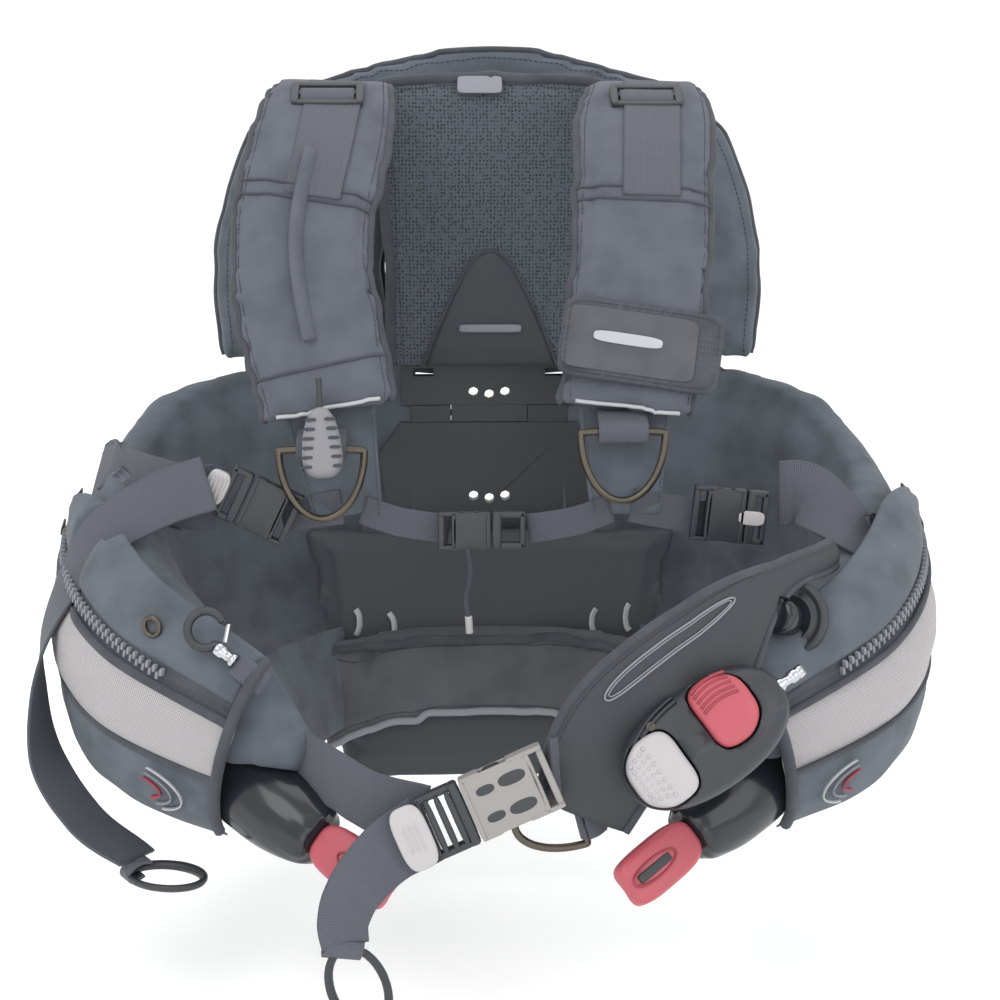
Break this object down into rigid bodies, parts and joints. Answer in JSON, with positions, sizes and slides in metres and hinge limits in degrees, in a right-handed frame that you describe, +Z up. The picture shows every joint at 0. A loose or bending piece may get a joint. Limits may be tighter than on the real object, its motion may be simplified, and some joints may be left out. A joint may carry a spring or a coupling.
{
  "type": "buoyancy compensator vest",
  "caption": "Scuba buoyancy jacket with backplate and tank band, padded shoulder straps, wrap-round air cells, zipped pockets, weight pouches, waist buckle and air control levers.",
  "frame": {"origin": "centre of the backplate's flat rear face, where the cylinder rests, on the lower half", "axes": "+Z up, +Y backwards towards the cylinder, so the wearer faces -Y and the wearer's left is +X"},
  "size_m": [0.6415, 0.6204, 0.6209],
  "materials": {
    "nylon": "coated woven nylon over foam and air bladder",
    "mesh": "spacer mesh",
    "neoprene": "knit over neoprene foam",
    "webbing": "woven nylon webbing",
    "blackPlastic": "moulded acetal",
    "glossBlack": "smooth moulded sheath",
    "rubber": "moulded soft rubber",
    "redPlastic": "moulded red plastic",
    "greyPlastic": "moulded light grey plastic",
    "steel": "bronze-grey stainless wire",
    "chrome": "polished plated brass"
  },
  "bodies": {
    "vest": {"backplate_upper": "blackPlastic", "backplate_lower": "blackPlastic", "backplate_hinge_pin": "steel", "tank_band": "webbing", "cam_buckle_frame": "blackPlastic", "back_pad": "mesh", "waist_panel": "nylon", "lumbar_pad": "neoprene", "back_air_cell": "nylon", "carry_handle": "webbing", "shoulder_pad_right": "nylon", "shoulder_webbing_right": "webbing", "hip_webbing_right": "webbing", "waist_webbing_right": "webbing", "side_air_cell_right": "nylon", "cargo_pocket_right": "mesh", "shoulder_pad_left": "nylon", "shoulder_webbing_left": "webbing", "hip_webbing_left": "webbing", "waist_webbing_left": "webbing", "side_air_cell_left": "nylon", "cargo_pocket_left": "mesh", "control_panel": "rubber", "control_housing": "blackPlastic", "lever_pin": "steel", "hose_nipple": "chrome", "dump_valve_body": "blackPlastic", "shoulder_buckle_right_socket": "blackPlastic", "shoulder_buckle_left_socket": "blackPlastic", "sternum_buckle_socket": "blackPlastic", "waist_buckle_socket": "greyPlastic", "strap_adjuster_right": "blackPlastic", "strap_adjuster_left": "blackPlastic", "snap_hook": "steel"},
    "inflate_lever": {"inflate_lever": "redPlastic"},
    "deflate_lever": {"deflate_lever": "greyPlastic"},
    "dump_pull": {"dump_pull_knob": "greyPlastic"},
    "dump_valve_cap": {"dump_valve_cap": "glossBlack", "dump_valve_spring": "steel"},
    "d_ring_right": {"shoulder_d_ring_right": "steel"},
    "d_ring_left": {"shoulder_d_ring_left": "steel"},
    "waist_d_ring": {"waist_d_ring": "steel"},
    "shoulder_clip_right": {"shoulder_buckle_right_clip": "greyPlastic", "shoulder_tail_right": "webbing"},
    "shoulder_clip_left": {"shoulder_buckle_left_clip": "blackPlastic"},
    "sternum_clip": {"sternum_buckle_clip": "blackPlastic"},
    "waist_clip": {"waist_buckle_clip": "blackPlastic", "waist_tail": "webbing"},
    "shoulder_tail_ring": {"shoulder_tail_ring": "blackPlastic"},
    "waist_tail_ring": {"waist_tail_ring": "blackPlastic"},
    "zip_right": {"zip_slider_right": "steel"},
    "pouch_right": {"weight_pouch_right": "glossBlack", "weight_handle_right": "redPlastic"},
    "zip_left": {"zip_slider_left": "steel"},
    "pouch_left": {"weight_pouch_left": "glossBlack", "weight_handle_left": "redPlastic"},
    "snap_gate": {"snap_gate": "steel"},
    "cam_lever": {"cam_lever": "blackPlastic"},
    "hose_flap": {"hose_flap": "nylon"}
  },
  "joints": [
    {"name": "inflate_press", "type": "hinge", "parent": "vest", "child": "inflate_lever", "pos_m": [0.11581, -0.40227, -0.13409], "axis": [-0.5584, 0.361, 0.7469], "range_deg": [0, 6], "stiffness_Nm_per_rad": 0.6},
    {"name": "deflate_press", "type": "hinge", "parent": "vest", "child": "deflate_lever", "pos_m": [0.11581, -0.40227, -0.13409], "axis": [0.5584, -0.361, -0.7469], "range_deg": [0, 6], "stiffness_Nm_per_rad": 0.6},
    {"name": "dump_pull", "type": "slide", "parent": "vest", "child": "dump_pull", "axis": [0.0504, -0.2824, -0.958], "range_m": [0, 0.02], "stiffness_N_per_m": 250},
    {"name": "dump_valve", "type": "slide", "parent": "vest", "child": "dump_valve_cap", "axis": [-0.5579, -0.786, 0.2663], "range_m": [0, 0.005], "stiffness_N_per_m": 900, "deforming": ["dump_valve_spring"]},
    {"name": "d_ring_right_swing", "type": "hinge", "parent": "vest", "child": "d_ring_right", "pos_m": [-0.121, -0.24, 0.027], "axis": [-1, 0, 0], "range_deg": [0, 60]},
    {"name": "d_ring_left_swing", "type": "hinge", "parent": "vest", "child": "d_ring_left", "pos_m": [0.085, -0.238, 0.038], "axis": [-1, 0, 0], "range_deg": [0, 90]},
    {"name": "waist_d_ring_swing", "type": "hinge", "parent": "vest", "child": "waist_d_ring", "pos_m": [0.046, -0.3715, -0.186], "axis": [-0.2545, 0, 0.9671], "range_deg": [-8, 14]},
    {"name": "shoulder_buckle_right_release", "type": "slide", "parent": "vest", "child": "shoulder_clip_right", "axis": [-0.9025, 0, 0.4307], "range_m": [0, 0.028], "deforming": ["shoulder_tail_right"]},
    {"name": "shoulder_buckle_left_release", "type": "slide", "parent": "vest", "child": "shoulder_clip_left", "axis": [0.995, 0, -0.0995], "range_m": [0, 0.028]},
    {"name": "sternum_buckle_release", "type": "slide", "parent": "vest", "child": "sternum_clip", "axis": [1, 0, 0], "range_m": [0, 0.028]},
    {"name": "waist_buckle_release", "type": "slide", "parent": "vest", "child": "waist_clip", "axis": [-0.9181, -0.058, -0.392], "range_m": [0, 0.02], "deforming": ["waist_tail"]},
    {"name": "shoulder_tail_ring_swing", "type": "hinge", "parent": "shoulder_clip_right", "child": "shoulder_tail_ring", "pos_m": [-0.25068, -0.29306, -0.25172], "axis": [0.4041, 0.9091, 0.101], "range_deg": [-30, 30]},
    {"name": "waist_tail_ring_swing", "type": "hinge", "parent": "waist_clip", "child": "waist_tail_ring", "pos_m": [-0.10407, -0.41151, -0.26195], "axis": [0.9245, 0.0925, 0.3698], "range_deg": [-20, 30]},
    {"name": "zip_right_run", "type": "hinge", "parent": "vest", "child": "zip_right", "pos_m": [-0.08575, -0.14456, -0.08559], "axis": [0.1923, -0.2493, 0.9491], "range_deg": [0, 52.47]},
    {"name": "pouch_right_pull", "type": "slide", "parent": "vest", "child": "pouch_right", "axis": [0.7059, -0.6252, -0.3328], "range_m": [0, 0.05], "deforming": ["waist_tail"]},
    {"name": "zip_left_run", "type": "hinge", "parent": "vest", "child": "zip_left", "pos_m": [0.08575, -0.14456, -0.08559], "axis": [0.1923, 0.2493, -0.9491], "range_deg": [0, 52.47]},
    {"name": "pouch_left_pull", "type": "slide", "parent": "vest", "child": "pouch_left", "axis": [-0.7059, -0.6252, -0.3328], "range_m": [0, 0.05]},
    {"name": "snap_gate_open", "type": "hinge", "parent": "vest", "child": "snap_gate", "pos_m": [-0.17948, -0.34074, -0.08164], "axis": [-0.1333, -0.9252, 0.3552], "range_deg": [0, 30], "stiffness_Nm_per_rad": 0.05},
    {"name": "cam_lever_open", "type": "hinge", "parent": "vest", "child": "cam_lever", "pos_m": [-0.022, 0.1885, 0.076], "axis": [0, 0, 1], "range_deg": [0, 100]},
    {"name": "hose_flap_open", "type": "hinge", "parent": "vest", "child": "hose_flap", "pos_m": [0.04264, -0.227, 0.10543], "axis": [-0.1438, -0.2966, -0.9441], "range_deg": [0, 120]}
  ]
}
